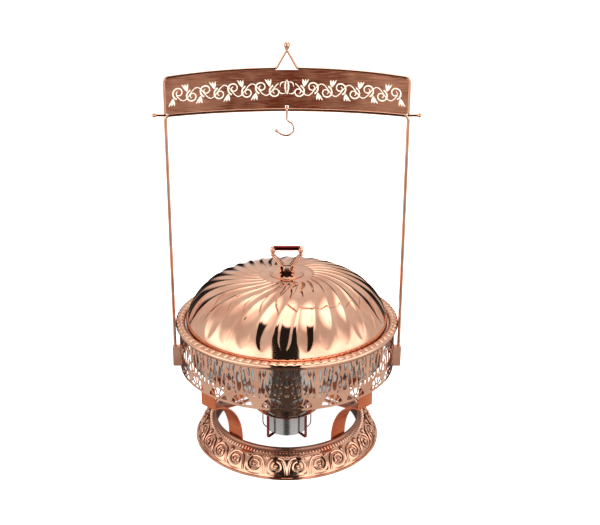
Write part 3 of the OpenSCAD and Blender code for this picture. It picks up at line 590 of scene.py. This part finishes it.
# One scroll with its stem, fillers and the palmette beside it, as flat lines in mm
def scrollLines(eyeAt):
    lines = [
        stroke((-18.4, 4), (-18.6, 35), (-1.6, eyeAt + 14.4), 4.6, 10)[:8]
        + curl(0, eyeAt, 14.4, 4.2, 1.68, -1.6, 4.4, 2.8, 38),
        stroke((-15.4, 4), (-15, 26), (-8, 28), 2.2),
        curl(0, eyeAt, 9.4, 6.8, 2.6, -0.8, 2.2, 1.6, 16),
        stroke((-10, 3.4), (0, 0.8), (11, 3.4), 3.0),
        stroke((9, 6), (15, 3.5), (15.5, 12), 2.8),
    ]
    for tip in ((11.0, 37.5), (15.8, 38.8), (20.8, 37.6)):
        lines.append(stroke((15, 28.5), ((15 + tip[0]) / 2 - 0.6, 33), tip, 3.4, 6))
    return lines


def makeBase(shape):
    # The turned-in foot, the slope, the rolled top and its inner wall, then back inside to the foot
    outline = [(160, 0), (169.2, 0), (170, 0.8), (170, 2.8), (169.2, 3.6), (167.2, 3.7)]
    outline += [baseSlope(i / 14, shape) for i in range(15)]
    outline += [(136.3, 40.2), (136.0, 41.6), (135.2, 43.2), (133.8, 44.0), (132.2, 43.9), (131.2, 42.9),
                (131.0, 41.5), (131, 16), (132.5, 16), (132.5, 40.5), (134.0, 41.8)]
    for i in range(11):  # back down inside, a wall's thickness away
        r, z = baseSlope(1 - i / 10, shape)
        outline.append((r - 1.2, z - 1.3))
    outline += [(164, 2.6), (168.4, 2.6), (168.4, 1.5), (160, 1.5)]
    bm = revolve(outline, shape["steps"])
    paintedShade = bm.verts.layers.float.new("paintedShade")
    for vert in bm.verts:
        radius, height = math.hypot(vert.co.x, vert.co.y) / mm, vert.co.z / mm
        # Painted shade: the rolled top and its inner wall get the most, the slope's field a little
        if radius < shape["rollInside"]:
            vert[paintedShade] = shape["rollPaintedShade"]
        elif radius < shape["fieldInside"] and height > 4:
            vert[paintedShade] = shape["fieldPaintedShade"]
    one = drawBeads(scrollLines(shape["eyeAt"]), sides=2, depth=1.2)
    bead = bmesh.ops.create_uvsphere(one, u_segments=10, v_segments=6, radius=shape["eye"] * mm)
    bmesh.ops.translate(one, vec=(0, shape["eyeAt"] * mm, 0), verts=bead["verts"])
    heights = [vert.co.z / mm for vert in one.verts]
    for i in range(shape["scrolls"]):
        scroll = one.copy()
        side = 1 if i < shape["scrolls"] / 2 else -1  # the two halves mirror each other about the front
        shift = (i + 0.5) * shape["scrollPitch"]
        for vert in scroll.verts:
            along = side * vert.co.x / mm + shift
            vert.co = onSlope(along, vert.co.y / mm, vert.co.z / mm + shape["sink"], shape)
        for vert, height in zip(addInto(bm, scroll), heights):
            # Painted shade at the foot of each bead, where it meets the slope
            vert[paintedShade] = min(max(shape["edgePaintedShade"] - height * 1.1, 0), shape["edgePaintedShade"])
    one.free()
    bars = drawBeads([[(0, -3.0, 2.4), (0, -1.6, 3.4), (0, 1.6, 3.4), (0, 3.0, 2.4)]], sides=1, depth=0.8)
    for i in range(shape["bars"]):
        bar = bars.copy()
        for vert in bar.verts:
            along = vert.co.x / mm * shape["barWidth"] + i * shape["scrollPitch"] * shape["scrolls"] / shape["bars"]
            vert.co = onSlope(along, vert.co.y / mm + shape["barsAt"], vert.co.z / mm, shape)
        addInto(bm, bar)
    bars.free()
    finishPiece(bm, "baseRing", "stand", rosePlate, ["base_ring"], sharpAngle=40)


makeBase(baseShape)
print("base done")

# Arches are (height at the middle, radius) in mm
signShape = {"railArch": (613.5, 2027.0), "topArch": (682.5, 1323.0), "waves": 4, "reach": 184.0, "swing": 10.0,
             "stemFrom": 14.0, "face": 0.75}


# Height of the sign panel's middle line at a distance from its centre
def signMiddle(x, shape):
    (railZ, railR), (topZ, topR) = shape["railArch"], shape["topArch"]
    rail = railZ - railR + math.sqrt(railR * railR - x * x)
    top = topZ - topR + math.sqrt(topR * topR - x * x)
    return (rail + top) / 2


def makeFlourish(shape):
    waveLength = shape["reach"] / shape["waves"]
    lines = []
    stem = []
    for i in range(shape["waves"] * 16 + 1):
        x = shape["stemFrom"] + (shape["reach"] - shape["stemFrom"]) * i / (shape["waves"] * 16)
        stem.append((x, shape["swing"] * math.sin(x / waveLength * fullTurn), 1.5))
    lines.append(stem)
    for k in range(shape["waves"] * 2):
        x = waveLength * (k + 0.5) / 2 + 8
        up = 1 if k % 2 else -1
        lines.append(curl(x, up * 4.0, 11.0, 2.5, -up * 0.4 * math.pi, up * 1.4, 2.6, 1.2, 26))
        for lean in (-1, 0, 1):
            tip = (x + 12 + lean * 5, -up * 17)
            lines.append(stroke((x + 9, -up * 5), (x + 10 + lean * 2, -up * 11), tip, 3.2, 6))
    lines.append(stroke((0.5, 16), (5, 6), (0.5, -8), 2.8))
    lines.append(stroke((2, 12), (12, 14), (11, 4), 1.8))
    lines.append(stroke((2, -6), (12, -10), (13, -1), 1.8))
    bm = drawBeads(lines + [[(-x, y, w) for x, y, w in line] for line in lines], sides=2, depth=0.3)
    for vert in bm.verts:
        x = vert.co.x / mm
        vert.co = (vert.co.x, -shape["face"] * mm - vert.co.z, signMiddle(x, shape) * mm + vert.co.y)
    finishPiece(bm, "signFlourish", "hanger", creamEnamel)


makeFlourish(signShape)
print("flourish done")

studio = {"floorSize": 60.0, "glow": 0.92, "mid": 0.72, "boxes": 1.5, "ceiling": (0.5, 1.3), "backWall": 0.12,
          "dark": 0.02, "lowCard": 0.06, "lens": 60.56, "sensor": 36, "shift": 0.0219, "farClip": 200,
          "cameraAt": (0, -1.67006, 0.97584), "cameraTilt": math.radians(69.15)}


def makeStudio(shape):
    bm = bmesh.new()
    bmesh.ops.create_grid(bm, x_segments=1, y_segments=1, size=shape["floorSize"] / 2)
    mesh = bpy.data.meshes.new("studioFloor")
    bm.to_mesh(mesh)
    bm.free()
    floor = bpy.data.objects.new("studioFloor", mesh)
    bpy.context.scene.collection.objects.link(floor)
    floor.visible_glossy = False  # the metal mirrors the light boxes, not the floor
    material = bpy.data.materials.new("paleStudioFloor")
    tree = newTree(material)
    place = addNode(tree, "TexCoord").outputs["Object"]
    cloud = addNode(tree, "TexNoise", sockets={"Vector": place, "Scale": 2.0})
    tone = addNode(tree, "ValToRGB", sockets={0: cloud.outputs["Fac"]}, stops=[(0.2, "#F6F5F3"), (0.8, "#FAF9F8")])
    shader = addNode(tree, "BsdfPrincipled", sockets={
        "Base Color": tone.outputs[0], "Roughness": 0.9, "Emission Color": linear("#FFFFFF"),
        "Emission Strength": shape["glow"]})
    addNode(tree, "OutputMaterial", sockets={"Surface": shader.outputs[0]})
    mesh.materials.append(material)

    world = bpy.data.worlds.new("studioLight")
    bpy.context.scene.world = world
    tree = newTree(world)
    direction = addNode(tree, "TexCoord").outputs["Generated"]
    axes = addNode(tree, "SeparateXYZ", sockets={0: direction})
    x, y, z = (axes.outputs[i] for i in range(3))
    sideways = addNode(tree, "Math", {"operation": "ABSOLUTE"},
                       {0: addNode(tree, "Math", {"operation": "ADD"}, {0: x, 1: 0.02}).outputs[0]}).outputs[0]
    # Soft edges of the light boxes and dark cards round the object, over the direction that is looked in:
    # each goes from nothing at its first number to full at its second
    parts = {}
    for name, value, low, high in (
            ("front", y, 0.25, -0.05), ("under", z, 0.60, 0.20), ("over", z, -0.30, 0.05), ("behind", y, -0.05, 0.30),
            ("low", z, 0.36, 0.14), ("beside", sideways, 0.08, 0.16), ("between", sideways, 0.72, 0.58),
            ("high", z, 0.76, 0.95), ("centre", sideways, 0.27, 0.23), ("underTop", z, 0.95, 0.90),
            ("right", x, -0.35, 0.0), ("raised", z, 0.20, 0.40), ("ground", z, -0.10, -0.30)):
        parts[name] = addNode(tree, "MapRange", {"interpolation_type": "SMOOTHSTEP"},
                              {"Value": value, "From Min": low, "From Max": high}).outputs[0]
    # Each line works out a part from numbers and from parts above it
    for name, operation, first, second, third in (
            ("boxes", "MULTIPLY", "front", "under", 0.0), ("boxes", "MULTIPLY", "boxes", "over", 0.0),
            ("backWall", "MULTIPLY", "behind", "raised", 0.0), ("backDark", "MULTIPLY", "behind", "low", 0.0),
            ("backDark", "MULTIPLY", "backDark", "beside", 0.0), ("backDark", "MULTIPLY", "backDark", "between", 0.0),
            ("strip", "MULTIPLY", "front", "centre", 0.0),
            ("strip", "MULTIPLY", "strip", "underTop", 0.0), ("cards", "MAXIMUM", "backDark", "strip", 0.0),
            ("open", "SUBTRACT", 1.0, "cards", 0.0),
            ("light", "MULTIPLY_ADD", "boxes", shape["boxes"], shape["mid"]),
            ("light", "MULTIPLY_ADD", "backWall", shape["backWall"], "light"),
            ("roof", "MULTIPLY_ADD", "right", shape["ceiling"][1], shape["ceiling"][0]),
            ("light", "MULTIPLY_ADD", "high", "roof", "light"), ("light", "MULTIPLY", "light", "open", 0.0),
            ("floorGlow", "MULTIPLY_ADD", "ground", shape["lowCard"], shape["dark"]),
            ("light", "MAXIMUM", "light", "floorGlow", 0.0)):
        terms = {i: parts.get(term, term) for i, term in enumerate((first, second, third))}
        parts[name] = addNode(tree, "Math", {"operation": operation}, terms).outputs[0]
    sky = addNode(tree, "Background", sockets={"Color": linear("#FFFAF4"), "Strength": parts["light"]})
    white = addNode(tree, "Background", sockets={"Color": linear("#FFFFFF"), "Strength": 1.0})
    seen = addNode(tree, "LightPath").outputs["Is Camera Ray"]
    mixed = addNode(tree, "MixShader", sockets={0: seen, 1: sky.outputs[0], 2: white.outputs[0]})
    addNode(tree, "OutputWorld", sockets={"Surface": mixed.outputs[0]})

    for name, place, size, power in (("softboxLeft", (-2.2, -1.6, 1.8), 1.4, 5),
                                     ("softboxRight", (2.2, -1.6, 1.8), 1.4, 5),
                                     ("softboxTop", (0, 0.4, 2.8), 1.8, 7)):
        light = bpy.data.lights.new(name, "AREA")
        light.size, light.energy = size, power
        lamp = bpy.data.objects.new(name, light)
        lamp.location = place
        lamp.rotation_euler = (Vector((0, 0, 0.3)) - Vector(place)).to_track_quat("-Z", "Y").to_euler()
        lamp.visible_camera = False
        lamp.visible_glossy = False
        bpy.context.scene.collection.objects.link(lamp)

    lens = bpy.data.cameras.new("camera")
    lens.lens, lens.sensor_width = shape["lens"], shape["sensor"]
    lens.shift_x, lens.clip_end = shape["shift"], shape["farClip"]
    camera = bpy.data.objects.new("camera", lens)
    camera.location = shape["cameraAt"]
    camera.rotation_euler = (shape["cameraTilt"], 0, 0)
    bpy.context.scene.collection.objects.link(camera)
    bpy.context.scene.camera = camera
    bpy.context.scene.view_settings.view_transform = "Standard"


makeStudio(studio)
print("studio done")
